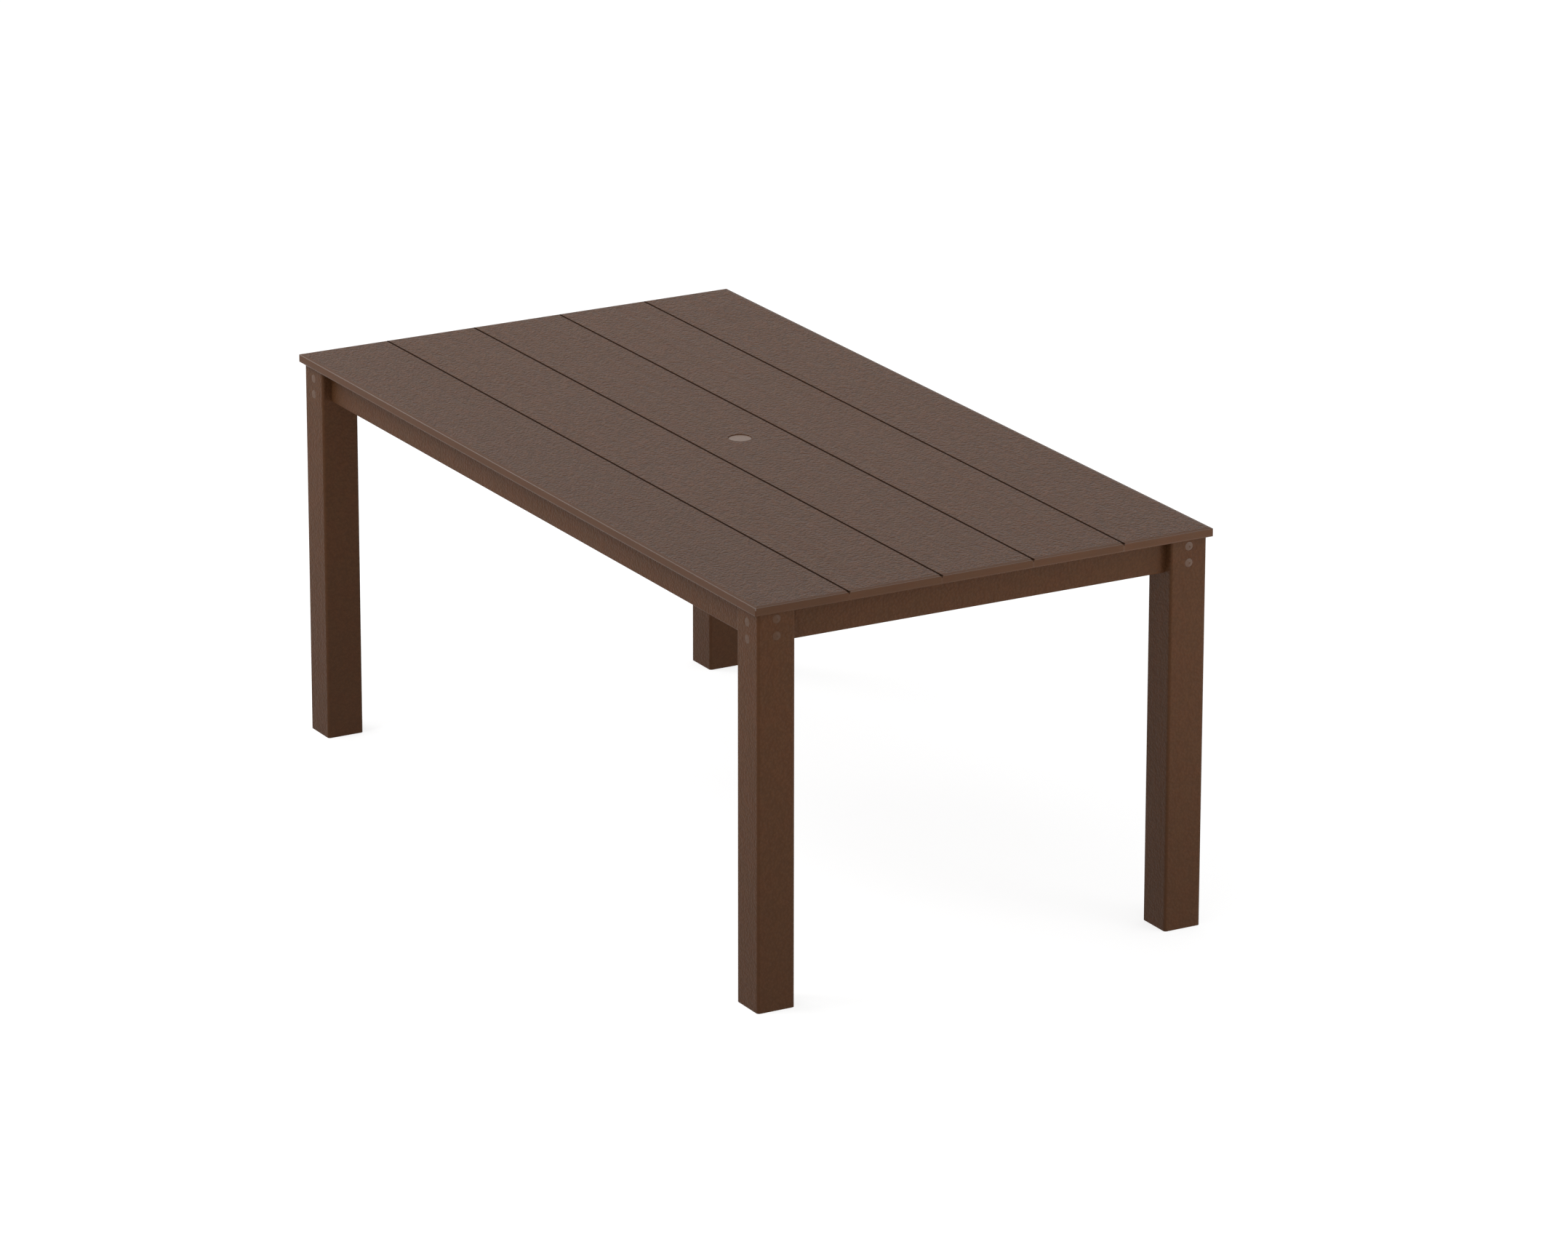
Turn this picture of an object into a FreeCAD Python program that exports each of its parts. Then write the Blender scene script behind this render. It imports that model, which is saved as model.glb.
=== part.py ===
import FreeCAD, Part
import math
import os

# Free-standing outdoor table of plastic lumber, in millimetres.
# Origin: centre of the footprint, on the floor. +X runs along the boards, +Y across them, +Z up.
# "Front" is -Y, "back" is +Y, "left" is -X and "right" is +X.

# ---- Driving dimensions -------------------------------------------------------------------
TABLE_LENGTH = 1830.0
TABLE_WIDTH = 960.0
TABLE_HEIGHT = 774.5

# Top boards
BOARD_COUNT = 5
BOARD_THICKNESS = 16.5
SEAM_SET_BACK = 0.8         # each board stands back this far from its seam, down to the groove's depth,
SEAM_DEPTH = 4.5            # below which the boards butt
SEAM_LIP_RADIUS = 2.2       # upper edges along the seams
LOWER_EDGE_RADIUS = 1.2     # lower edges of the boards
RIM_ROLL_WIDTH = 8.0        # the routed rim rolls over gently all round the top,
RIM_ROLL_DROP = 1.5         # by this much, and then meets the upright edge
RIM_EDGE_RADIUS = 0.9       # where the roll meets the upright edge
RIM_CORNER_RADIUS = 2.0     # upright corners of the top

# Legs
LEG_WIDTH = 77.0
LEG_CORNER_RADIUS = 5.5
TOP_OVERHANG_END = 7.5      # top past the legs at the short sides
TOP_OVERHANG_SIDE = 9.0     # top past the legs at the long sides

# Aprons, centred on the legs
APRON_THICKNESS = 38.0
APRON_HEIGHT = 63.5
APRON_EDGE_RADIUS = 2.0

# Cleats, battens and brace under the top, all cut from lumber of one thickness
STRIP_THICKNESS = 25.0
CLEAT_WIDTH = 38.0
BATTEN_WIDTH = 63.5
BATTEN_END_GAP = 3.0        # room for the lumber to grow in the sun
OUTER_BATTEN_POSITION = 455.0
BRACE_LENGTH_X = 84.0
BRACE_LENGTH_Y = 140.0
BRACE_SIDE_GAP = 1.5        # each side, to the centre battens
STRIP_EDGE_RADIUS = 1.5

# Umbrella hole and its cap
POLE_BORE_RADIUS = 20.0     # in the brace
CAP_LEDGE = 1.85            # how far the cap reaches over the brace, all round the bore
CAP_CLEARANCE = 0.4         # radial, to the hole in the middle board
CAP_RECESS = 1.2            # cap face below the table's face
CAP_FACE_THICKNESS = 3.0
CAP_SKIRT_WALL = 1.2
CAP_EDGE_RADIUS = 0.6
HOLE_EDGE_RADIUS = 0.8

# Leg screws and the plugs over them
LEG_SCREW_RADIUS = 3.5
LEG_SCREW_BITE = 40.0           # length in the apron's end
LEG_SCREW_HEAD_RADIUS = 7.5
LEG_SCREW_HEAD_HEIGHT = 4.5
LEG_SCREW_TOP_MARGIN = 13.4     # from the apron's upper edge to the highest screw
LEG_SCREW_BOTTOM_MARGIN = 7.8   # from the apron's lower edge to the lowest screw
LEG_SCREW_STAGGER = 10.6        # keeps screws that cross inside a leg apart
DRIVE_ACROSS_FLATS = 5.0
DRIVE_DEPTH = 2.8
PLUG_RADIUS = 8.2
PLUG_THICKNESS = 7.0
PLUG_DOME = 0.4
PLUG_CLEARANCE = 0.2            # radial, in its counterbore

# Small countersunk screws
TOP_SCREW_RADIUS = 2.1
TOP_SCREW_BITE = 10.0           # length in the board
CLEAT_SCREW_RADIUS = 2.4
CLEAT_SCREW_BITE = 22.0         # length in the apron
SCREWS_PER_LONG_CLEAT = 6
TOP_SCREW_SPREAD = 96.0         # between the two screws that hold a board to one batten
CLEAT_SCREW_END_MARGIN = 90.0
BRACE_SCREW_MARGIN = 18.0
SCREW_CLEARANCE = 0.1           # radial, between a screw and its hole
DRIVE_TO_SHANK = 1.8            # drive recess across flats, as a multiple of the screw's radius

# ---- Places that follow from the dimensions above -----------------------------------------
TOP_UNDERSIDE = TABLE_HEIGHT - BOARD_THICKNESS
BOARD_WIDTH = TABLE_WIDTH / BOARD_COUNT
LEG_CENTRE_X = TABLE_LENGTH / 2 - TOP_OVERHANG_END - LEG_WIDTH / 2
LEG_CENTRE_Y = TABLE_WIDTH / 2 - TOP_OVERHANG_SIDE - LEG_WIDTH / 2
BETWEEN_LEGS_X = 2 * LEG_CENTRE_X - LEG_WIDTH
BETWEEN_LEGS_Y = 2 * LEG_CENTRE_Y - LEG_WIDTH
APRON_UNDERSIDE = TOP_UNDERSIDE - APRON_HEIGHT
LONG_CLEAT_Y = LEG_CENTRE_Y - APRON_THICKNESS / 2 - CLEAT_WIDTH / 2
SHORT_CLEAT_X = LEG_CENTRE_X - APRON_THICKNESS / 2 - CLEAT_WIDTH / 2
INSIDE_CLEATS_Y = 2 * LONG_CLEAT_Y - CLEAT_WIDTH - 2 * BATTEN_END_GAP
STRIP_UNDERSIDE = TOP_UNDERSIDE - STRIP_THICKNESS
CENTRE_BATTEN_POSITION = BRACE_LENGTH_X / 2 + BRACE_SIDE_GAP + BATTEN_WIDTH / 2
CAP_RADIUS = POLE_BORE_RADIUS + CAP_LEDGE
COUNTERBORE_DEPTH = PLUG_THICKNESS + LEG_SCREW_HEAD_HEIGHT
LEG_SCREW_LENGTH = LEG_WIDTH - PLUG_THICKNESS + LEG_SCREW_BITE
TOP_SCREW_LENGTH = STRIP_THICKNESS + TOP_SCREW_BITE
CLEAT_SCREW_LENGTH = CLEAT_WIDTH + CLEAT_SCREW_BITE

# Heights of the leg screws: the two directions take turns down the leg.
SHORT_FACE_SCREW_Z = (
    TOP_UNDERSIDE - LEG_SCREW_TOP_MARGIN,
    APRON_UNDERSIDE + LEG_SCREW_BOTTOM_MARGIN + LEG_SCREW_STAGGER,
)
LONG_FACE_SCREW_Z = (
    TOP_UNDERSIDE - LEG_SCREW_TOP_MARGIN - LEG_SCREW_STAGGER,
    APRON_UNDERSIDE + LEG_SCREW_BOTTOM_MARGIN,
)

UP = FreeCAD.Vector(0, 0, 1)
ALONG_X = FreeCAD.Vector(1, 0, 0)
ALONG_Y = FreeCAD.Vector(0, 1, 0)


# ---- Shape helpers ------------------------------------------------------------------------
def rounded_rectangle(width, height, radius):
    """A closed face in the XY plane, centred on the origin, with round corners."""
    half_w = width / 2
    half_h = height / 2
    diagonal = radius * (1 - math.sqrt(0.5))
    edges = []
    corners = ((1, 1), (-1, 1), (-1, -1), (1, -1))
    for index, (sx, sy) in enumerate(corners):
        beside = FreeCAD.Vector(sx * half_w, sy * (half_h - radius), 0)
        middle = FreeCAD.Vector(sx * (half_w - diagonal), sy * (half_h - diagonal), 0)
        above = FreeCAD.Vector(sx * (half_w - radius), sy * half_h, 0)
        start, end = (beside, above) if index % 2 == 0 else (above, beside)
        edges.append(Part.Arc(start, middle, end).toShape())
    straights = []
    for index in range(4):
        start = edges[index].valueAt(edges[index].LastParameter)
        following = edges[(index + 1) % 4]
        straights.append(Part.makeLine(start, following.valueAt(following.FirstParameter)))
    ordered = [edge for pair in zip(edges, straights) for edge in pair]
    return Part.Face(Part.Wire(ordered))


def bar_along(axis, length, width, height, radius):
    """A rounded bar centred on the origin; width is its level side, height its upright side."""
    if axis == ALONG_X:
        bar = rounded_rectangle(height, width, radius).extrude(UP * length)
    else:
        bar = rounded_rectangle(width, height, radius).extrude(UP * length)
    bar.translate(UP * (-length / 2))
    bar.rotate(FreeCAD.Vector(), ALONG_Y if axis == ALONG_X else ALONG_X, 90)
    return bar


def arc_between(centre_x, centre_y, radius, start, end):
    """The arc in the XY plane from one angle to another, in radians."""
    points = []
    for angle in (start, (start + end) / 2, end):
        x = centre_x + radius * math.cos(angle)
        y = centre_y + radius * math.sin(angle)
        points.append(FreeCAD.Vector(x, y, 0))
    return Part.Arc(*points).toShape()


def lipped_corner(half_width):
    """Half a seam's groove: a small ledge, an upright wall, and a quarter round to the upper face."""
    wall_x = half_width - SEAM_SET_BACK
    floor_y = BOARD_THICKNESS - SEAM_DEPTH
    lip_y = BOARD_THICKNESS - SEAM_LIP_RADIUS
    foot = FreeCAD.Vector(wall_x, floor_y, 0)
    ledge = Part.makeLine(FreeCAD.Vector(half_width, floor_y, 0), foot)
    wall = Part.makeLine(foot, FreeCAD.Vector(wall_x, lip_y, 0))
    lip = arc_between(wall_x - SEAM_LIP_RADIUS, lip_y, SEAM_LIP_RADIUS, 0, math.pi / 2)
    return [ledge, wall, lip]


def rolled_corner(half_width):
    """The rim: a small round from the upright edge into the long, flat roll."""
    roll_radius = (RIM_ROLL_WIDTH ** 2 + RIM_ROLL_DROP ** 2) / (2 * RIM_ROLL_DROP)
    roll_x = half_width - RIM_ROLL_WIDTH
    roll_y = BOARD_THICKNESS - roll_radius
    meeting_angle = math.acos((RIM_ROLL_WIDTH - RIM_EDGE_RADIUS) / (roll_radius - RIM_EDGE_RADIUS))
    edge_x = half_width - RIM_EDGE_RADIUS
    edge_y = roll_y + (roll_radius - RIM_EDGE_RADIUS) * math.sin(meeting_angle)
    edge = arc_between(edge_x, edge_y, RIM_EDGE_RADIUS, 0, meeting_angle)
    roll = arc_between(roll_x, roll_y, roll_radius, meeting_angle, math.pi / 2)
    return [edge, roll]


def plank_section(width, upper_corner):
    """A plank's closed outline, X across and Y up from its lower face, with the same upper corner twice."""
    half = width / 2
    lower = arc_between(half - LOWER_EDGE_RADIUS, LOWER_EDGE_RADIUS, LOWER_EDGE_RADIUS, -math.pi / 2, 0)
    upper = upper_corner(half)
    side_top = upper[0].valueAt(upper[0].FirstParameter)
    side = Part.makeLine(FreeCAD.Vector(half, LOWER_EDGE_RADIUS, 0), side_top)
    right = [lower, side, *upper]
    left = [edge.mirror(FreeCAD.Vector(), ALONG_X) for edge in right]
    lower_reach = half - LOWER_EDGE_RADIUS
    upper_reach = max(vertex.X for vertex in right[-1].Vertexes if vertex.Y > BOARD_THICKNESS - 1e-6)
    straights = []
    for reach, y in ((lower_reach, 0), (upper_reach, BOARD_THICKNESS)):
        straights.append(Part.makeLine(FreeCAD.Vector(-reach, y, 0), FreeCAD.Vector(reach, y, 0)))
    return Part.Face(Part.Wire(Part.__sortEdges__(right + left + straights)))


def plank_along(axis, length, section):
    """A section run along an axis, centred on the origin and standing on the top's lower plane."""
    if axis == ALONG_X:
        section.rotate(FreeCAD.Vector(), FreeCAD.Vector(1, 1, 1), 120)
    else:
        section.rotate(FreeCAD.Vector(), ALONG_X, 90)
    section.translate(axis * (-length / 2) + UP * TOP_UNDERSIDE)
    return section.extrude(axis * length)


def placed(shape, x, y, z):
    copy = shape.copy()
    copy.translate(FreeCAD.Vector(x, y, z))
    return copy


def pointed_at(shape, place, direction):
    """Turns a shape made along +Z so that it runs along direction, and moves it to place."""
    copy = shape.copy()
    copy.Placement = FreeCAD.Placement(place, FreeCAD.Rotation(UP, direction))
    return copy


def revolved(profile):
    """Turns a closed outline of (radius, height) points around the Z axis."""
    points = [FreeCAD.Vector(radius, 0, height) for radius, height in profile]
    face = Part.Face(Part.makePolygon(points + points[:1]))
    return face.revolve(FreeCAD.Vector(), UP, 360)


def hex_recess(across_flats, depth):
    corner = across_flats / math.sqrt(3)
    points = []
    for index in range(7):
        angle = math.radians(60 * index)
        points.append(FreeCAD.Vector(corner * math.cos(angle), corner * math.sin(angle), 0))
    return Part.Face(Part.makePolygon(points)).extrude(UP * depth)


# ---- Fasteners: each starts at its head's outer face and runs along +Z --------------------
def stepped_pin(wide, wide_length, shank, tip):
    """A wide head, a shank and a point that is as long as the shank is wide."""
    return revolved([
        (0, 0),
        (wide, 0),
        (wide, wide_length),
        (shank, wide_length),
        (shank, tip - 2 * shank),
        (0, tip),
    ])


def leg_screw():
    screw = stepped_pin(LEG_SCREW_HEAD_RADIUS, LEG_SCREW_HEAD_HEIGHT, LEG_SCREW_RADIUS, LEG_SCREW_LENGTH)
    return screw.cut(hex_recess(DRIVE_ACROSS_FLATS, DRIVE_DEPTH))


def leg_screw_hole():
    """The screw's passage with the plug's counterbore, starting at the leg's face."""
    shank = LEG_SCREW_RADIUS + SCREW_CLEARANCE
    tip = PLUG_THICKNESS + LEG_SCREW_LENGTH + SCREW_CLEARANCE
    return stepped_pin(PLUG_RADIUS + PLUG_CLEARANCE, COUNTERBORE_DEPTH, shank, tip)


def screw_plug():
    """A round plug whose domed face starts just proud of the leg and whose back meets the screw."""
    crown = FreeCAD.Vector(0, 0, -PLUG_DOME)
    rim = FreeCAD.Vector(PLUG_RADIUS, 0, 0)
    half = PLUG_RADIUS / 2
    dome_radius = (PLUG_RADIUS ** 2 + PLUG_DOME ** 2) / (2 * PLUG_DOME)
    half_height = math.sqrt(dome_radius ** 2 - half ** 2) - (dome_radius - PLUG_DOME)
    dome = Part.Arc(crown, FreeCAD.Vector(half, 0, -half_height), rim).toShape()
    back_rim = FreeCAD.Vector(PLUG_RADIUS, 0, PLUG_THICKNESS)
    back_centre = UP * PLUG_THICKNESS
    sides = Part.makePolygon([rim, back_rim, back_centre, crown])
    return Part.Face(Part.Wire([dome] + sides.Edges)).revolve(FreeCAD.Vector(), UP, 360)


def countersunk_outline(radius, length, grow):
    head = 2 * radius + grow
    shank = radius + grow
    tip = length + grow
    return [(0, 0), (head, 0), (shank, radius), (shank, tip - 2 * radius), (0, tip)]


def countersunk_screw(radius, length):
    recess = hex_recess(DRIVE_TO_SHANK * radius, radius / 2)
    return revolved(countersunk_outline(radius, length, 0)).cut(recess)


def countersunk_hole(radius, length):
    return revolved(countersunk_outline(radius, length, SCREW_CLEARANCE))


# ---- Where the fasteners go: lists of (point, direction) ----------------------------------
def leg_screw_places():
    places = []
    for sx in (-1, 1):
        for sy in (-1, 1):
            for z in SHORT_FACE_SCREW_Z:
                face = FreeCAD.Vector(sx * (LEG_CENTRE_X + LEG_WIDTH / 2), sy * LEG_CENTRE_Y, z)
                places.append((face, ALONG_X * -sx))
            for z in LONG_FACE_SCREW_Z:
                face = FreeCAD.Vector(sx * LEG_CENTRE_X, sy * (LEG_CENTRE_Y + LEG_WIDTH / 2), z)
                places.append((face, ALONG_Y * -sy))
    return places


def evenly_spaced(count, length, end_margin):
    pitch = (length - 2 * end_margin) / (count - 1)
    return [end_margin - length / 2 + pitch * index for index in range(count)]


def board_centre_y(index):
    return -TABLE_WIDTH / 2 + BOARD_WIDTH * (index + 0.5)


def seams_y():
    return [board_centre_y(index) + BOARD_WIDTH / 2 for index in range(BOARD_COUNT - 1)]


def cleat_screw_places():
    """Level screws from the cleats' inner faces out into the aprons."""
    z = TOP_UNDERSIDE - STRIP_THICKNESS / 2
    places = []
    for side in (-1, 1):
        y = side * (LONG_CLEAT_Y - CLEAT_WIDTH / 2)
        for x in evenly_spaced(SCREWS_PER_LONG_CLEAT, BETWEEN_LEGS_X, CLEAT_SCREW_END_MARGIN):
            places.append((FreeCAD.Vector(x, y, z), ALONG_Y * side))
        x = side * (SHORT_CLEAT_X - CLEAT_WIDTH / 2)
        for y in seams_y():
            places.append((FreeCAD.Vector(x, y, z), ALONG_X * side))
    return places


def screws_across_boards():
    """The Y places of the two screws that each board gets, where a batten reaches them."""
    inside = []
    for index in range(BOARD_COUNT):
        for side in (-1, 1):
            y = board_centre_y(index) + side * TOP_SCREW_SPREAD / 2
            if abs(y) < INSIDE_CLEATS_Y / 2 - 4 * TOP_SCREW_RADIUS:
                inside.append(y)
    return inside


def batten_positions():
    return (
        -OUTER_BATTEN_POSITION,
        -CENTRE_BATTEN_POSITION,
        CENTRE_BATTEN_POSITION,
        OUTER_BATTEN_POSITION,
    )


def top_screw_places():
    """Upright screws from the battens, cleats and brace into the boards."""
    places = []
    for x in (-SHORT_CLEAT_X, *batten_positions(), SHORT_CLEAT_X):
        for y in screws_across_boards():
            places.append(FreeCAD.Vector(x, y, STRIP_UNDERSIDE))
    pitch = (BETWEEN_LEGS_X - 2 * CLEAT_SCREW_END_MARGIN) / (SCREWS_PER_LONG_CLEAT - 1)
    between_cleat_screws = CLEAT_SCREW_END_MARGIN + pitch / 2
    for y in (-LONG_CLEAT_Y, LONG_CLEAT_Y):
        for x in evenly_spaced(SCREWS_PER_LONG_CLEAT - 1, BETWEEN_LEGS_X, between_cleat_screws):
            places.append(FreeCAD.Vector(x, y, STRIP_UNDERSIDE))
    for sx in (-1, 1):
        for sy in (-1, 1):
            x = sx * (BRACE_LENGTH_X / 2 - BRACE_SCREW_MARGIN)
            y = sy * (BRACE_LENGTH_Y / 2 - BRACE_SCREW_MARGIN)
            places.append(FreeCAD.Vector(x, y, STRIP_UNDERSIDE))
    return [(place, UP) for place in places]


def copies(shape, places):
    return [pointed_at(shape, point, direction) for point, direction in places]


def near(shape, tools):
    """The tools whose boxes reach the shape's box."""
    return [tool for tool in tools if tool.BoundBox.intersect(shape.BoundBox)]


# ---- Lumber -------------------------------------------------------------------------------
def top_slab():
    """The outline that the router leaves around the five boards together."""
    plan = rounded_rectangle(TABLE_WIDTH, TABLE_LENGTH, RIM_CORNER_RADIUS)
    plan.rotate(FreeCAD.Vector(), UP, 90)
    plan = plan.extrude(UP * BOARD_THICKNESS)
    plan.translate(UP * TOP_UNDERSIDE)
    side = plank_along(ALONG_X, TABLE_LENGTH, plank_section(TABLE_WIDTH, rolled_corner))
    end = plank_along(ALONG_Y, TABLE_WIDTH, plank_section(TABLE_LENGTH, rolled_corner))
    return plan.common(side).common(end)


def top_board(index, slab):
    """One board of the slab, with lips at its seams. An outer board's far edge is left to the rim."""
    past_rim = RIM_ROLL_WIDTH * ((index == BOARD_COUNT - 1) - (index == 0))
    strip = plank_along(ALONG_X, TABLE_LENGTH, plank_section(BOARD_WIDTH + abs(past_rim), lipped_corner))
    return slab.common(placed(strip, 0, board_centre_y(index) + past_rim / 2, 0))


def cap_hole():
    """The round hole in the middle board, with an eased upper edge."""
    radius = CAP_RADIUS + CAP_CLEARANCE
    hole = Part.makeCylinder(radius, BOARD_THICKNESS, UP * TOP_UNDERSIDE)
    easing = Part.makeCone(
        radius, radius + HOLE_EDGE_RADIUS, HOLE_EDGE_RADIUS, UP * (TABLE_HEIGHT - HOLE_EDGE_RADIUS)
    )
    return hole.fuse(easing)


def leg(sx, sy):
    post = rounded_rectangle(LEG_WIDTH, LEG_WIDTH, LEG_CORNER_RADIUS).extrude(UP * TOP_UNDERSIDE)
    return placed(post, sx * LEG_CENTRE_X, sy * LEG_CENTRE_Y, 0)


def long_apron(side):
    rail = bar_along(ALONG_X, BETWEEN_LEGS_X, APRON_THICKNESS, APRON_HEIGHT, APRON_EDGE_RADIUS)
    return placed(rail, 0, side * LEG_CENTRE_Y, TOP_UNDERSIDE - APRON_HEIGHT / 2)


def short_apron(side):
    rail = bar_along(ALONG_Y, BETWEEN_LEGS_Y, APRON_THICKNESS, APRON_HEIGHT, APRON_EDGE_RADIUS)
    return placed(rail, side * LEG_CENTRE_X, 0, TOP_UNDERSIDE - APRON_HEIGHT / 2)


def long_cleat(side):
    strip = bar_along(ALONG_X, BETWEEN_LEGS_X, CLEAT_WIDTH, STRIP_THICKNESS, STRIP_EDGE_RADIUS)
    return placed(strip, 0, side * LONG_CLEAT_Y, TOP_UNDERSIDE - STRIP_THICKNESS / 2)


def short_cleat(side):
    strip = bar_along(ALONG_Y, INSIDE_CLEATS_Y, CLEAT_WIDTH, STRIP_THICKNESS, STRIP_EDGE_RADIUS)
    return placed(strip, side * SHORT_CLEAT_X, 0, TOP_UNDERSIDE - STRIP_THICKNESS / 2)


def cross_batten(x):
    strip = bar_along(ALONG_Y, INSIDE_CLEATS_Y, BATTEN_WIDTH, STRIP_THICKNESS, STRIP_EDGE_RADIUS)
    return placed(strip, x, 0, TOP_UNDERSIDE - STRIP_THICKNESS / 2)


def umbrella_brace():
    block = bar_along(ALONG_Y, BRACE_LENGTH_Y, BRACE_LENGTH_X, STRIP_THICKNESS, STRIP_EDGE_RADIUS)
    block = placed(block, 0, 0, TOP_UNDERSIDE - STRIP_THICKNESS / 2)
    bore = Part.makeCylinder(POLE_BORE_RADIUS, STRIP_THICKNESS, UP * STRIP_UNDERSIDE)
    return block.cut(bore)


def umbrella_cap():
    """A shallow upturned cup: its skirt stands on the brace and its face sits just below the boards."""
    height = BOARD_THICKNESS - CAP_RECESS
    cup = Part.makeCylinder(CAP_RADIUS, height, UP * TOP_UNDERSIDE)
    upper_rim = [edge for edge in cup.Edges if edge.BoundBox.ZMin > TOP_UNDERSIDE + height / 2]
    cup = cup.makeFillet(CAP_EDGE_RADIUS, upper_rim)
    inside = Part.makeCylinder(CAP_RADIUS - CAP_SKIRT_WALL, height - CAP_FACE_THICKNESS, UP * TOP_UNDERSIDE)
    return cup.cut(inside)


# ---- The whole table ----------------------------------------------------------------------
def lumber_pieces():
    pieces = {}
    slab = top_slab()
    for index in range(BOARD_COUNT):
        pieces["top_board_%d" % (index + 1)] = top_board(index, slab)
    middle_board = "top_board_%d" % (BOARD_COUNT // 2 + 1)
    pieces[middle_board] = pieces[middle_board].cut(cap_hole())
    for side, depth_name in ((-1, "front"), (1, "back")):
        pieces["leg_%s_left" % depth_name] = leg(-1, side)
        pieces["leg_%s_right" % depth_name] = leg(1, side)
        pieces["long_apron_" + depth_name] = long_apron(side)
        pieces["long_cleat_" + depth_name] = long_cleat(side)
    for side, end_name in ((-1, "left"), (1, "right")):
        pieces["short_apron_" + end_name] = short_apron(side)
        pieces["short_cleat_" + end_name] = short_cleat(side)
    for index, x in enumerate(batten_positions()):
        pieces["cross_batten_%d" % (index + 1)] = cross_batten(x)
    pieces["umbrella_brace"] = umbrella_brace()
    return pieces


def build():
    cleat_screw = (CLEAT_SCREW_RADIUS, CLEAT_SCREW_LENGTH)
    top_screw = (TOP_SCREW_RADIUS, TOP_SCREW_LENGTH)
    screw_seats = [(point + way * PLUG_THICKNESS, way) for point, way in leg_screw_places()]
    fasteners = {
        "screw_plugs": copies(screw_plug(), leg_screw_places()),
        "leg_screws": copies(leg_screw(), screw_seats),
        "cleat_screws": copies(countersunk_screw(*cleat_screw), cleat_screw_places()),
        "top_screws": copies(countersunk_screw(*top_screw), top_screw_places()),
    }
    holes = copies(leg_screw_hole(), leg_screw_places())
    holes += copies(countersunk_hole(*cleat_screw), cleat_screw_places())
    holes += copies(countersunk_hole(*top_screw), top_screw_places())

    nodes = {}
    for name, piece in lumber_pieces().items():
        tools = near(piece, holes)
        nodes[name] = piece.cut(tools) if tools else piece
    nodes["umbrella_cap"] = umbrella_cap()
    for name, solids in fasteners.items():
        nodes[name] = Part.makeCompound(solids)
    return nodes


def single_or_group(shape):
    solids = shape.Solids
    return solids[0] if len(solids) == 1 else Part.makeCompound(solids)


os.makedirs("parts", exist_ok=True)
for node_name, node_shape in build().items():
    single_or_group(node_shape).exportStep("parts/%s.step" % node_name)
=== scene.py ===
"""Looks for the table: grained plastic lumber, smooth plugs and cap, steel screws, and a plain white studio.

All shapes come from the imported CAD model. Lengths are in metres, in the CAD frame.
"""

import math

import bpy
from mathutils import Matrix, Vector


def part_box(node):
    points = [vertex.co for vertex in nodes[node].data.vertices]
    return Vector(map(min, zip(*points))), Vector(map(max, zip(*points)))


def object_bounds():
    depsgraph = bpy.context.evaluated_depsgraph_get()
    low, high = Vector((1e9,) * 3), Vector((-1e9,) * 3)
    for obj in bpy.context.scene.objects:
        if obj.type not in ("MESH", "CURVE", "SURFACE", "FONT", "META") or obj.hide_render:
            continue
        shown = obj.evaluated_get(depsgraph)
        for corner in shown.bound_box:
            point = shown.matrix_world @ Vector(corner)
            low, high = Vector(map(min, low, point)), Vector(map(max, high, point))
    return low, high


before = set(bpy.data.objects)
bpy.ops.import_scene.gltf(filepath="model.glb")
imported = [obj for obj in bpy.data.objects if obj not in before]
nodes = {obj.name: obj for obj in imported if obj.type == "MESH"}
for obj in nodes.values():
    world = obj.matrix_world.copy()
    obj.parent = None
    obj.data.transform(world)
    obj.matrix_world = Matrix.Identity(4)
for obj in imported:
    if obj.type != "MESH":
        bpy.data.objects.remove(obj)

cad_low, cad_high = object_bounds()

# ---------------------------------------------------------------- driving values

X, Y, Z = 0, 1, 2

# Camera: the way it looks at the middle of the table, and how far off centre that middle lies.
CAMERA_AZIMUTH = math.radians(60.486)
CAMERA_ELEVATION = math.radians(18.360)
CAMERA_ROLL = math.radians(0.068)
CAMERA_DISTANCE = 15.2158
CAMERA_TO_RIGHT = 0.0837
CAMERA_UPWARD = 0.0081
CAMERA_LENS = 182.94
SENSOR_WIDTH = 36.0

# Light. The sky is even. One soft box hangs high in front of the table, and weaker ones stand at its ends.
# Each has the way to it from the middle of the table, its distance, the length of its side and its power.
SKY_STRENGTH = 0.90
SOFT_BOXES = {
    "key": (Vector((-0.15, -0.66, 0.73)), 6.0, 2.4, 140.0),
    "left": (Vector((-0.82, -0.42, 0.40)), 4.5, 1.8, 68.0),
    "right": (Vector((0.82, 0.50, 0.02)), 3.0, 0.9, 18.0),
}
FLOOR_SIZE = 240.0
FLOOR_GLOW = 0.78
FLOOR_COLOUR = (0.28, 0.28, 0.28)

# Plastic lumber. Colours are linear.
LUMBER_COLOUR = (0.0652, 0.0272, 0.0108)
FRAME_PAINTED_SHADE = 0.94        # the legs and the frame against the boards: darker, as painted shade against the floor's glow
FRAME_TONES = (1.00, 0.97, 1.02, 0.985, 1.015)
BOARD_PAINTED_LIGHT_TONES = (0.94, 0.99, 1.00, 1.04, 1.05)    # from the front board to the back one: painted light, each board lighter towards the back
WARM_TINT = (1.03, 0.975, 0.97)
PIT_PAINTED_SHADE = 2.6       # how much darker the grain's pits are: painted shade in place of their own shadows
RUB_TINT = (1.0, 1.04, 1.08)
RUB_TONE = 1.45          # edges rubbed light
SAWN_TONE = 1.30         # the light streaks of saw marks
SAW_DEPTH = 0.00010
SWAY_DEPTH = 0.0007      # slow waves in the faces

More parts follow.
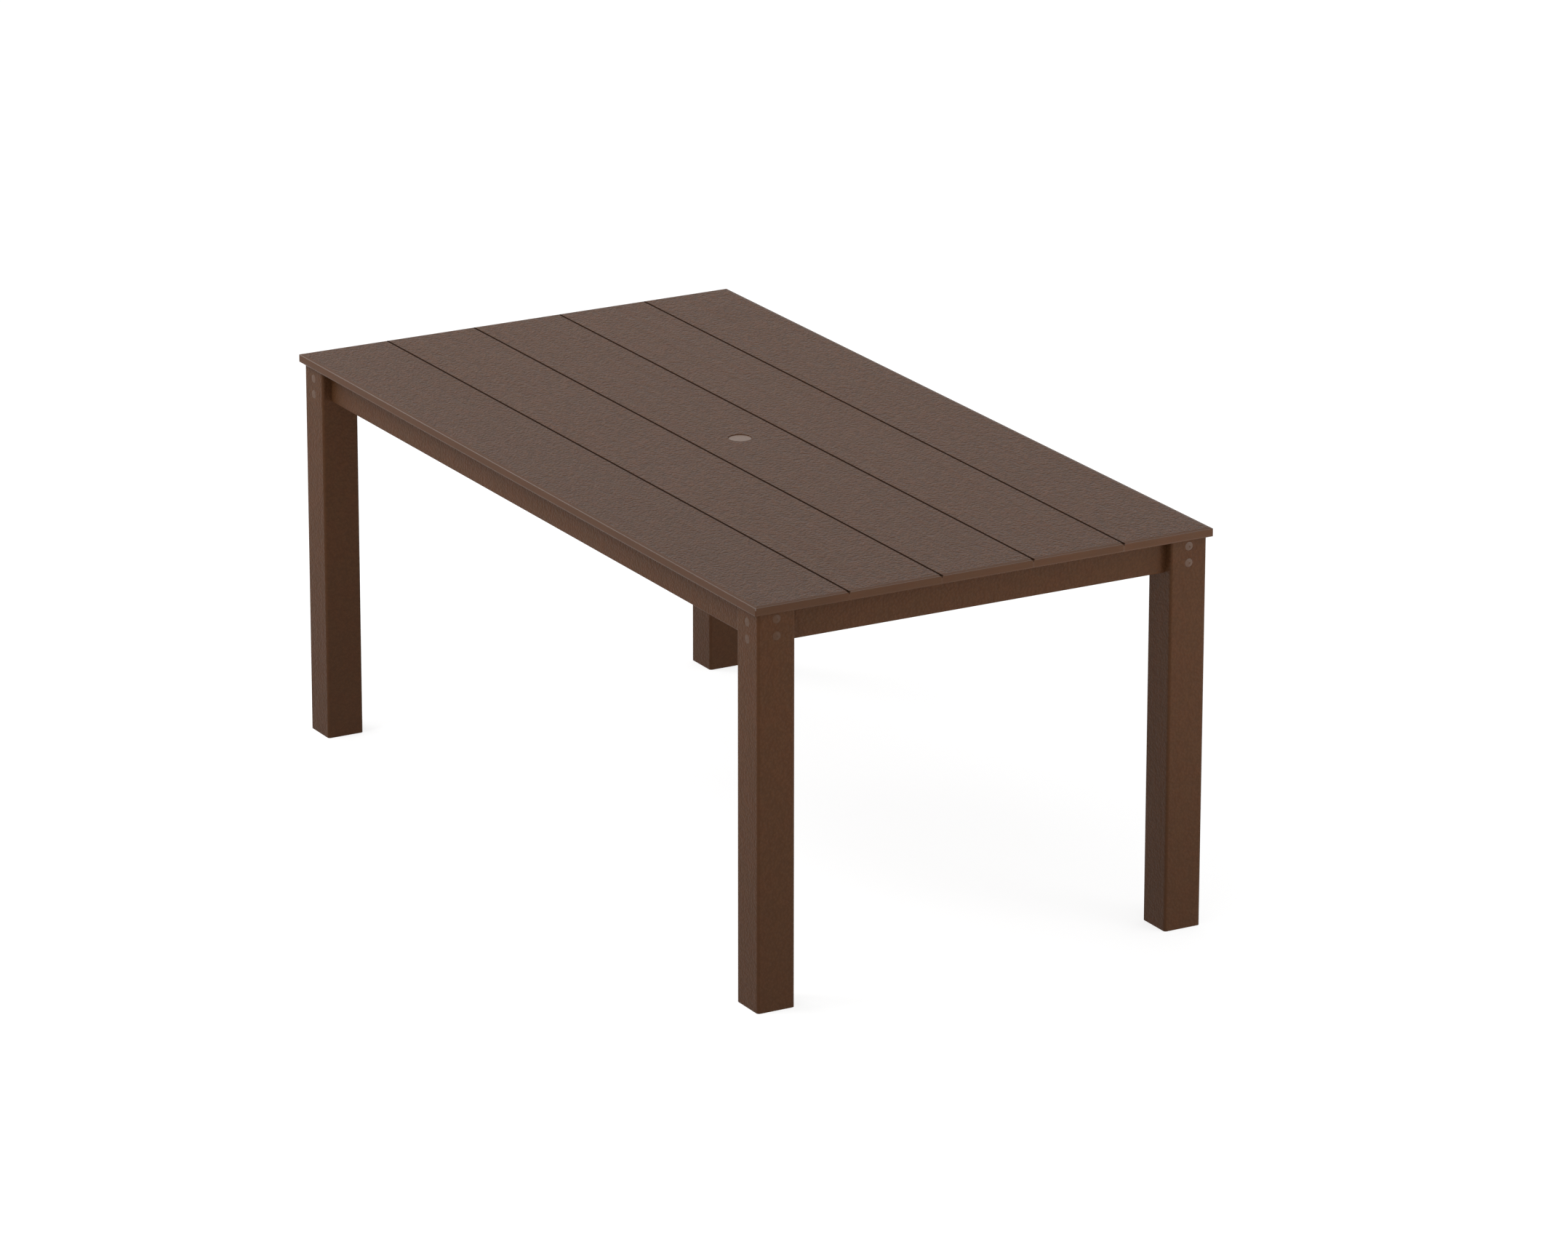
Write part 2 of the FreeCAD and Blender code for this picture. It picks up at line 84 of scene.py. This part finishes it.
# The moulded grain, and the smooth strips where it is cut away.
GRAIN_CELL = 0.0052
GRAIN_DEPTH = 0.00100
GRAIN_LEVEL = 0.155      # mean of the grain's height
END_STRIP = 0.0082       # along the ends of the top
LONG_STRIP = 0.0074      # along the long edges of the top
CORNER_STRIP = (0.0012, 0.0030)     # along every edge of a piece: where the grain starts, and is full
ROUTER_BLEND = 0.001     # how softly the grain ends at a strip

# Where one part of a piece's surface passes into the next: pairs of distances from a face or an edge.
FACE_TO_SIDE = (0.0004, 0.0010)
END_TO_SIDE = (0.0002, 0.0008)
FACE_TO_GROOVE = (0.0, 0.0003)
RIM_TO_SIDE = (0.0020, 0.0036)
SHARP_EDGE = (0.0007, 0.0019)
RUBBED_EDGE = (0.0, 0.0022)
BURNISHED_EDGE = (0.0009, 0.0016)

# The moulded cap and plugs, against the lumber.
PLUG_TONE = 0.98
PLUG_TINT = (1.0, 1.02, 1.03)
CAP_TONE = 1.45
CAP_TINT = (1.0, 1.10, 1.18)
RING_PITCH = 0.0009

# The grooves between boards, the rim of the top, and the feet.
SEAM_LIP = (0.0028, 0.0036)     # how far a board's lip reaches in from its seam
SEAM_REACH = (0.33, 0.36)       # between the outermost seams and the long rims, from the middle line
# Painted shade in the grooves between boards, with a little dirt: their darker colour, and the dark tint that
# dims their reflections.
GROOVE_PAINTED_SHADE = 0.20
GROOVE_REFLECTION_SHADE = (0.25, 0.12, 0.06)
DULLNESS = 0.54          # how much rougher a groove is than the board
RIM_DULLNESS = 0.26      # the rim's share of that
BURNISH_DEPTH = (0.0050, 0.0060)    # how far below the top's face the burnished edge fades out
COAT_ROUGHNESS = 0.22
COAT_IOR = 1.9
# Painted shade on the legs, darker towards the floor: how much, how dark, and up to what height.
FOOT_PAINTED_SHADE = 0.30
FOOT_SHADE_TONE = 0.40
FOOT_SHADE_HEIGHT = 0.60

# Which way each kind of lumber piece was extruded.
ALONG = {"top_board": X, "leg": Z, "long_apron": X, "short_apron": Y, "long_cleat": X, "short_cleat": Y,
         "cross_batten": Y, "umbrella_brace": Y}

# How the top's boards differ from the frame, and how far the pattern shifts from one piece to the next.
# The boards' wider spread also deepens the painted shade in the grain's pits.
BOARD_LOOK = {"board": True, "smooth_ends": END_STRIP, "grain": 3.2, "spread": 0.23, "specular": 0.15,
              "gloss": (0.46, 0.46, 0.26), "rub_amount": 0.0}
PATTERN_SHIFT = (0.731, 1.177, 0.419)

# ---------------------------------------------------------------- shader nodes


class Shader:
    """Adds nodes to one material. Each call gives back the new node's result, to feed into the next."""

    def __init__(self, name):
        self.material = bpy.data.materials.new(name)
        self.material.use_nodes = True
        self.tree = self.material.node_tree
        self.tree.nodes.clear()
        self.point = self.add("ShaderNodeTexCoord").outputs["Object"]

    def add(self, kind, inputs=None, **settings):
        node = self.tree.nodes.new(kind)
        for name, value in settings.items():
            setattr(node, name, value)
        for name, value in (inputs or {}).items():
            socket = node.inputs[name]
            if isinstance(value, bpy.types.NodeSocket):
                self.tree.links.new(value, socket)
            else:
                socket.default_value = value
        return node

    def math(self, operation, *values):
        return self.add("ShaderNodeMath", dict(enumerate(values)), operation=operation).outputs[0]

    def total(self, *values):
        result = values[0]
        for value in values[1:]:
            result = self.math("ADD", result, value)
        return result

    def scaled(self, point, factors):
        """The point with each coordinate multiplied."""
        node = self.add("ShaderNodeVectorMath", {0: point, 1: factors}, operation="MULTIPLY")
        return node.outputs[0]

    def moved(self, point, offset):
        return self.add("ShaderNodeVectorMath", {0: point, 1: offset}, operation="ADD").outputs[0]

    def axes(self, point):
        return self.add("ShaderNodeSeparateXYZ", {0: point}).outputs

    def step(self, value, low, high, from_value=0.0, to_value=1.0):
        """A smooth step from from_value at low to to_value at high."""
        inputs = {"Value": value, "From Min": low, "From Max": high, "To Min": from_value, "To Max": to_value}
        return self.add("ShaderNodeMapRange", inputs, interpolation_type="SMOOTHSTEP").outputs[0]

    def noise(self, point, cell, detail=2.0, roughness=0.5):
        """Soft noise about 0.5, with lumps about one cell across."""
        inputs = {"Vector": point, "Scale": 1.0 / cell, "Detail": detail, "Roughness": roughness}
        return self.add("ShaderNodeTexNoise", inputs).outputs[0]

    def swing(self, value, amount):
        """How far the value is above 0.5, times the amount."""
        return self.math("MULTIPLY", self.math("SUBTRACT", value, 0.5), amount)

    def pebbles(self, point, cell):
        """Rounded cells of random places: 0 at their middles, and more towards their borders."""
        inputs = {"Vector": point, "Scale": 1.0 / cell, "Smoothness": 0.6, "Randomness": 1.0}
        return self.add("ShaderNodeTexVoronoi", inputs, feature="SMOOTH_F1").outputs["Distance"]

    def blend(self, factor, first, second):
        """A mix of two colours. The node's sockets for colours are its inputs 6 and 7 and its output 2."""
        node = self.add("ShaderNodeMix", data_type="RGBA")
        for slot, value in ((0, factor), (6, first), (7, second)):
            if isinstance(value, bpy.types.NodeSocket):
                self.tree.links.new(value, node.inputs[slot])
            elif slot == 0:
                node.inputs[slot].default_value = value
            else:
                node.inputs[slot].default_value = (*value, 1.0)
        return node.outputs[2]

    def bump(self, height, depth, below=None):
        """A normal roughened by a height, over the normal below."""
        inputs = {"Height": height, "Distance": depth, "Strength": 1.0}
        if below is not None:
            inputs["Normal"] = below
        return self.add("ShaderNodeBump", inputs).outputs[0]

    def finish(self, colour, roughness, normal, specular=0.5, metallic=0.0, coat=None, reflected=None):
        """Puts the surface together. coat is the coat's weight, and reflected tints the reflections."""
        surface = self.add("ShaderNodeBsdfPrincipled",
                           {"Base Color": colour, "Roughness": roughness, "Normal": normal,
                            "Specular IOR Level": specular, "Metallic": metallic})
        if reflected is not None:
            self.tree.links.new(reflected, surface.inputs["Specular Tint"])
        if coat is not None:
            surface.inputs["Coat Roughness"].default_value = COAT_ROUGHNESS
            surface.inputs["Coat IOR"].default_value = COAT_IOR
            self.tree.links.new(coat, surface.inputs["Coat Weight"])
        output = self.add("ShaderNodeOutputMaterial")
        self.tree.links.new(surface.outputs[0], output.inputs["Surface"])
        return self.material


def shade(colour, factor):
    return tuple(channel * factor for channel in colour)


def tint(colour, red, green, blue):
    return (colour[0] * red, colour[1] * green, colour[2] * blue)


# ---------------------------------------------------------------- lumber


def wall_distances(shader, low, high):
    """For each axis, how deep a point lies inside the piece's box, from the nearer of its two sides."""
    depths = []
    for value, start, end in zip(shader.axes(shader.point), low, high):
        from_start = shader.math("SUBTRACT", value, start)
        from_end = shader.math("SUBTRACT", end, value)
        depths.append(shader.math("MINIMUM", from_start, from_end))
    return depths


def edge_distance(shader, depths):
    """How far a point on a box's surface is from the nearest edge: the middle one of the three depths."""
    x, y, z = depths
    pair_low = shader.math("MINIMUM", x, y)
    pair_high = shader.math("MAXIMUM", x, y)
    return shader.math("MAXIMUM", pair_low, shader.math("MINIMUM", pair_high, z))


def stretch_factors(along, amount):
    """Factors that stretch a pattern along one axis."""
    return tuple(1.0 / amount if axis == along else 1.0 for axis in range(3))


def seam_side(shader, depths):
    """1 within a lip's width of a seam between two boards, and 0 elsewhere, the long rims too."""
    near_side = shader.step(depths[Y], *SEAM_LIP, 1.0, 0.0)
    off_rim = shader.step(shader.math("ABSOLUTE", shader.axes(shader.point)[Y]), *SEAM_REACH, 1.0, 0.0)
    return shader.math("MULTIPLY", near_side, off_rim)


def groove_shade(shader, depths, near_seam):
    """How deep a point lies in the groove between two boards: 0 on their faces, 1 down between their lips."""
    below_face = shader.step(depths[Z], *FACE_TO_GROOVE)
    inside_ends = shader.step(depths[X], *END_TO_SIDE)
    return shader.math("MULTIPLY", near_seam, shader.math("MULTIPLY", below_face, inside_ends))


def burnish_shade(shader, depths, edge, near_seam, top):
    """1 on the top's upper outer edge, worn smooth, and 0 elsewhere. top is the height of the top's face."""
    shallow, deep = BURNISH_DEPTH
    upper = shader.step(shader.axes(shader.point)[Z], top - deep, top - shallow)
    below_top = shader.step(depths[Z], *FACE_TO_SIDE)
    on_edge = shader.math("MULTIPLY", shader.step(edge, *BURNISHED_EDGE, 1.0, 0.0),
                          shader.math("MULTIPLY", upper, below_top))
    return shader.math("MULTIPLY", on_edge, shader.math("SUBTRACT", 1.0, near_seam))


def leather_grain(shader, place):
    """The height of the moulded leathery grain: soft pebbles, bent out of line, with finer ones over them."""
    bend = shader.add("ShaderNodeTexNoise", {"Vector": place, "Scale": 1.0 / (2.2 * GRAIN_CELL)})
    bent = shader.moved(place, shader.scaled(bend.outputs["Color"], (0.8 * GRAIN_CELL,) * 3))
    coarse = shader.pebbles(bent, GRAIN_CELL)
    fine = shader.noise(place, 0.34 * GRAIN_CELL, 2.0, 0.6)
    broad = shader.noise(place, 2.6 * GRAIN_CELL, 2.0, 0.5)
    return shader.total(shader.math("MULTIPLY", coarse, -0.8), shader.math("MULTIPLY", fine, 0.28),
                        shader.math("MULTIPLY", broad, 0.75))


def grain_mask(shader, depths, edge, end, along, board, smooth_ends, smooth_sides):
    """1 where the grain is, and 0 at the edges, the sawn ends and the routed sides."""
    if board:
        faces = shader.step(depths[Z], *FACE_TO_SIDE, 1.0, 0.0)
    else:
        faces = shader.math("SUBTRACT", 1.0, end)
    mask = shader.math("MULTIPLY", shader.step(edge, *CORNER_STRIP), faces)
    if smooth_ends:
        inside = shader.step(depths[along], smooth_ends - ROUTER_BLEND, smooth_ends + ROUTER_BLEND)
        mask = shader.math("MULTIPLY", mask, inside)
    if smooth_sides:
        mask = shader.math("MULTIPLY", mask, smooth_sides(shader))
    return mask


def lumber_tones(shader, base, spread, marks, pits):
    """The lumber's mottled colour: painted shade in the pits, and cloudy, streaked and specked, warm in
    places.
    """
    factor = shader.total(0.5, shader.swing(marks["cloud"], 0.45), shader.swing(marks["flow"], 0.35),
                          shader.swing(marks["speck"], 0.30), pits)
    plain, warm = (shader.blend(factor, shade(colour, 1.0 - spread), shade(colour, 1.0 + spread))
                   for colour in (base, tint(base, *WARM_TINT)))
    return shader.blend(shader.step(marks["hue"], 0.40, 0.62), plain, warm)


def lumber(name, piece, along, tone=1.0, offset=(0.0, 0.0, 0.0), grain=1.1, spread=0.08, specular=0.085,
           gloss=(0.55, 0.54, 0.48), rub_amount=0.15, smooth_ends=0.0, smooth_sides=None, board=False,
           foot=False):
    """Plastic lumber for one piece, with its grain cut away at sawn ends and routed edges.

    along is the axis of the extrusion. grain scales the grain's depth, and spread its change of colour.
    gloss holds the roughness of the smooth parts, the grained faces and the sharp edges. A board has grain
    on its two wide faces only, a duller rim, and grooves darkened with painted shade and a little dirt.
    A foot is darkened towards the floor with painted shade.
    """
    low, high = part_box(piece)
    base = shade(LUMBER_COLOUR, tone)
    shader = Shader(name)
    depths = wall_distances(shader, low, high)
    edge = edge_distance(shader, depths)
    end = shader.step(depths[along], *END_TO_SIDE, 1.0, 0.0)
    place = shader.moved(shader.point, offset)
    leather = leather_grain(shader, place)
    mask = grain_mask(shader, depths, edge, end, along, board, smooth_ends, smooth_sides)

    # Marks of making: faint flow lines along the extrusion, slow waves, and saw marks across the ends.
    across = Y if along == X else X
    marks = {
        "flow": shader.noise(shader.scaled(place, stretch_factors(along, 60.0)), 0.009, 3.0, 0.55),
        "cloud": shader.noise(place, 0.060, 3.0, 0.5),
        "hue": shader.noise(shader.moved(place, (3.1, 1.7, 2.3)), 0.035, 2.0, 0.5),
        "speck": shader.noise(place, 0.0016, 1.0, 0.5),
        "sway": shader.noise(shader.scaled(place, stretch_factors(along, 4.0)), 0.070, 1.0, 0.4),
        "saw": shader.noise(shader.scaled(place, stretch_factors(across, 30.0)), 0.0016, 2.0, 0.6),
    }

    # Colour: the mottled tones with painted shade in the grain's pits, a touch lighter where edges are
    # rubbed and across the sawn ends.
    pits = shader.math("MULTIPLY", shader.math("SUBTRACT", leather, GRAIN_LEVEL),
                       shader.math("MULTIPLY", mask, PIT_PAINTED_SHADE))
    colour = lumber_tones(shader, base, spread, marks, pits)
    long_edge = shader.math("MAXIMUM", *(depth for axis, depth in enumerate(depths) if axis != along))
    rub = shader.math("MULTIPLY", shader.step(long_edge, *RUBBED_EDGE, 1.0, 0.0),
                      shader.step(marks["cloud"], 0.35, 0.7))
    rubbed = shade(tint(base, *RUB_TINT), RUB_TONE)
    colour = shader.blend(shader.math("MULTIPLY", rub, rub_amount), colour, rubbed)
    streaks = shader.math("MULTIPLY", end, shader.step(marks["saw"], 0.35, 0.75, 0.0, 0.35))
    colour = shader.blend(streaks, colour, shade(base, SAWN_TONE))

    # Gloss: sharp edges have a roughness of their own, and specks and flow lines vary it a little.
    smooth, grained, sharp = gloss
    roughness = shader.total(shader.step(mask, 0.0, 1.0, smooth, grained), shader.swing(marks["speck"], 0.10),
                             shader.swing(marks["flow"], 0.14),
                             shader.step(edge, *SHARP_EDGE, sharp - smooth, 0.0))
    burnish = None
    reflected = None

    if board:
        near_seam = seam_side(shader, depths)
        # Painted shade down in the grooves, with a little dirt: darker colour and dimmed reflections.
        groove = groove_shade(shader, depths, near_seam)
        colour = shader.blend(groove, colour, shade(base, GROOVE_PAINTED_SHADE))
        reflected = shader.blend(groove, (1.0, 1.0, 1.0), GROOVE_REFLECTION_SHADE)
        rim = shader.step(depths[Z], *RIM_TO_SIDE, 0.0, RIM_DULLNESS)
        dull = shader.math("MULTIPLY", shader.math("MAXIMUM", groove, rim), DULLNESS)
        roughness = shader.math("ADD", roughness, dull)
        burnish = burnish_shade(shader, depths, edge, near_seam, high.z)
    if foot:
        # Painted shade: the legs darken towards the floor.
        height = shader.axes(shader.point)[Z]
        foot_shade = shader.step(height, 0.0, FOOT_SHADE_HEIGHT, FOOT_PAINTED_SHADE, 0.0)
        colour = shader.blend(foot_shade, colour, shade(base, FOOT_SHADE_TONE))

    wave = shader.bump(marks["sway"], SWAY_DEPTH)
    sawn = shader.bump(shader.math("MULTIPLY", marks["saw"], end), SAW_DEPTH, below=wave)
    normal = shader.bump(shader.math("MULTIPLY", leather, mask), GRAIN_DEPTH * grain, below=sawn)
    return shader.finish(colour, roughness, normal, specular, coat=burnish, reflected=reflected)


def assign(piece, material):
    """Puts one material in every slot of a CAD node's object."""
    holder = nodes[piece]
    for slot in holder.material_slots:
        slot.link = "OBJECT"
        slot.material = material


def outer_sides(direction):
    """For an outer board: the grain stops short of the table's long edge."""
    reach = cad_high.y - LONG_STRIP

    def mask(shader):
        value = shader.math("MULTIPLY", shader.axes(shader.point)[Y], direction)
        return shader.step(value, reach - ROUTER_BLEND, reach + ROUTER_BLEND, 1.0, 0.0)

    return mask


def lumber_pieces():
    """Every lumber node, with its extrusion axis."""
    for piece in sorted(nodes):
        for prefix, along in ALONG.items():
            if piece.startswith(prefix) and not piece.endswith("screws"):
                yield piece, prefix, along


# The frame's lumber is made darker than the boards' as painted shade against the floor's glow.
for number, (piece, prefix, along) in enumerate(lumber_pieces()):
    options = {"tone": FRAME_PAINTED_SHADE * FRAME_TONES[number % len(FRAME_TONES)],
               "offset": tuple(shift * number for shift in PATTERN_SHIFT)}
    if prefix == "top_board":
        options.update(BOARD_LOOK, tone=BOARD_PAINTED_LIGHT_TONES[int(piece[-1]) - 1])
        if piece.endswith("_1"):
            options.update(smooth_sides=outer_sides(-1.0))
        elif piece.endswith("_5"):
            options.update(smooth_sides=outer_sides(1.0))
    elif prefix == "leg":
        options.update(foot=True)
    assign(piece, lumber("lumber_" + piece, piece, along, **options))

# ---------------------------------------------------------------- plugs, cap and screws


def plug_plastic():
    """Smooth moulded plugs, a little lighter than the lumber and none quite alike."""
    shader = Shader("plug_plastic")
    each = shader.noise(shader.moved(shader.point, (0.4, 0.9, 0.1)), 0.012, 0.0, 0.5)
    speck = shader.noise(shader.point, 0.0011, 2.0, 0.5)
    factor = shader.total(0.5, shader.swing(each, 0.8), shader.swing(speck, 0.4))
    base = tint(shade(LUMBER_COLOUR, PLUG_TONE), *PLUG_TINT)
    colour = shader.blend(factor, shade(base, 0.88), shade(base, 1.12))
    roughness = shader.total(0.40, shader.swing(speck, 0.16))
    normal = shader.bump(speck, 0.00003)
    return shader.finish(colour, roughness, normal, 0.19)


def cap_plastic():
    """The moulded cap: satin, with the faint rings of its mould and a few rubs."""
    shader = Shader("cap_plastic")
    x, y, _ = shader.axes(shader.point)
    squares = shader.math("ADD", shader.math("MULTIPLY", x, x), shader.math("MULTIPLY", y, y))
    radius = shader.math("SQRT", squares)
    rings = shader.math("SINE", shader.math("MULTIPLY", radius, 2.0 * math.pi / RING_PITCH))
    speck = shader.noise(shader.point, 0.0012, 2.0, 0.5)
    rub = shader.noise(shader.scaled(shader.point, (1.0, 7.0, 1.0)), 0.010, 3.0, 0.6)
    cloud = shader.noise(shader.point, 0.012, 2.0, 0.5)
    factor = shader.total(0.5, shader.swing(speck, 0.5), shader.swing(cloud, 0.5),
                          shader.math("MULTIPLY", rings, 0.03))
    base = tint(shade(LUMBER_COLOUR, CAP_TONE), *CAP_TINT)
    colour = shader.blend(factor, shade(base, 0.88), shade(base, 1.12))
    colour = shader.blend(shader.step(rub, 0.55, 0.72, 0.0, 0.20), colour, shade(base, 1.5))
    roughness = shader.total(0.30, shader.swing(speck, 0.12), shader.step(rub, 0.5, 0.7, 0.0, 0.10))
    height = shader.total(shader.math("MULTIPLY", rings, 0.04), shader.math("MULTIPLY", speck, 0.5))
    normal = shader.bump(height, 0.00003)
    return shader.finish(colour, roughness, normal)


def screw_steel():
    """Stainless steel with fine drawing marks and a slightly uneven, weathered gloss."""
    shader = Shader("screw_steel")
    drawn = shader.noise(shader.scaled(shader.point, (1.0, 1.0, 0.06)), 0.00025, 2.0, 0.6)
    stain = shader.noise(shader.point, 0.0035, 3.0, 0.6)
    factor = shader.total(0.5, shader.swing(drawn, 0.5), shader.swing(stain, 0.7))
    colour = shader.blend(factor, (0.42, 0.41, 0.39), (0.68, 0.67, 0.65))
    roughness = shader.total(0.32, shader.swing(stain, 0.30), shader.swing(drawn, 0.15))
    normal = shader.bump(drawn, 0.00001)
    return shader.finish(colour, roughness, normal, metallic=1.0)


assign("screw_plugs", plug_plastic())
assign("umbrella_cap", cap_plastic())
steel = screw_steel()
for piece in ("leg_screws", "cleat_screws", "top_screws"):
    assign(piece, steel)

# ---------------------------------------------------------------- floor, light and camera


def make_floor():
    """A plain grey floor that glows nearly white, so that only soft contact shadows show on it."""
    half = FLOOR_SIZE / 2.0
    corners = [(x, y, cad_low.z) for x, y in ((-half, -half), (half, -half), (half, half), (-half, half))]
    mesh = bpy.data.meshes.new("floor")
    mesh.from_pydata(corners, [], [(0, 1, 2, 3)])
    floor = bpy.data.objects.new("floor", mesh)
    bpy.context.scene.collection.objects.link(floor)
    material = bpy.data.materials.new("floor_white")
    material.use_nodes = True
    surface = material.node_tree.nodes["Principled BSDF"]
    surface.inputs["Base Color"].default_value = (*FLOOR_COLOUR, 1.0)
    surface.inputs["Roughness"].default_value = 1.0
    surface.inputs["Specular IOR Level"].default_value = 0.0
    surface.inputs["Emission Color"].default_value = (1.0, 1.0, 1.0, 1.0)
    surface.inputs["Emission Strength"].default_value = FLOOR_GLOW
    mesh.materials.append(material)


def make_light():
    """An even white sky, and the soft boxes."""
    world = bpy.data.worlds.new("sky")
    world.use_nodes = True
    sky = world.node_tree.nodes["Background"]
    sky.inputs["Color"].default_value = (1.0, 1.0, 1.0, 1.0)
    sky.inputs["Strength"].default_value = SKY_STRENGTH
    bpy.context.scene.world = world

    middle = (cad_low + cad_high) / 2.0
    for name, (towards, distance, size, power) in SOFT_BOXES.items():
        lamp = bpy.data.lights.new(name, "AREA")
        lamp.shape = "SQUARE"
        lamp.size = size
        lamp.energy = power
        box = bpy.data.objects.new(name, lamp)
        bpy.context.scene.collection.objects.link(box)
        direction = towards.normalized()
        box.location = middle + direction * distance
        box.rotation_mode = "QUATERNION"
        box.rotation_quaternion = direction.to_track_quat("Z", "Y")


def make_camera():
    """The camera stands back from the middle of the table, turned by azimuth, elevation and a slight roll."""
    back = Vector((math.sin(CAMERA_AZIMUTH) * math.cos(CAMERA_ELEVATION),
                   -math.cos(CAMERA_AZIMUTH) * math.cos(CAMERA_ELEVATION), math.sin(CAMERA_ELEVATION)))
    level_right = Vector((math.cos(CAMERA_AZIMUTH), math.sin(CAMERA_AZIMUTH), 0.0))
    level_up = back.cross(level_right)
    right = level_right * math.cos(CAMERA_ROLL) + level_up * math.sin(CAMERA_ROLL)
    up = level_up * math.cos(CAMERA_ROLL) - level_right * math.sin(CAMERA_ROLL)

    data = bpy.data.cameras.new("camera")
    data.sensor_fit = "HORIZONTAL"
    data.sensor_width = SENSOR_WIDTH
    data.lens = CAMERA_LENS
    data.clip_start = 0.1
    data.clip_end = 500.0
    camera = bpy.data.objects.new("camera", data)
    bpy.context.scene.collection.objects.link(camera)
    centre = (cad_low + cad_high) / 2.0
    place = centre + back * CAMERA_DISTANCE + right * CAMERA_TO_RIGHT + up * CAMERA_UPWARD
    camera.matrix_world = Matrix.Translation(place) @ Matrix((right, up, back)).transposed().to_4x4()
    bpy.context.scene.camera = camera


make_floor()
make_light()
make_camera()
bpy.context.scene.view_settings.view_transform = "Standard"
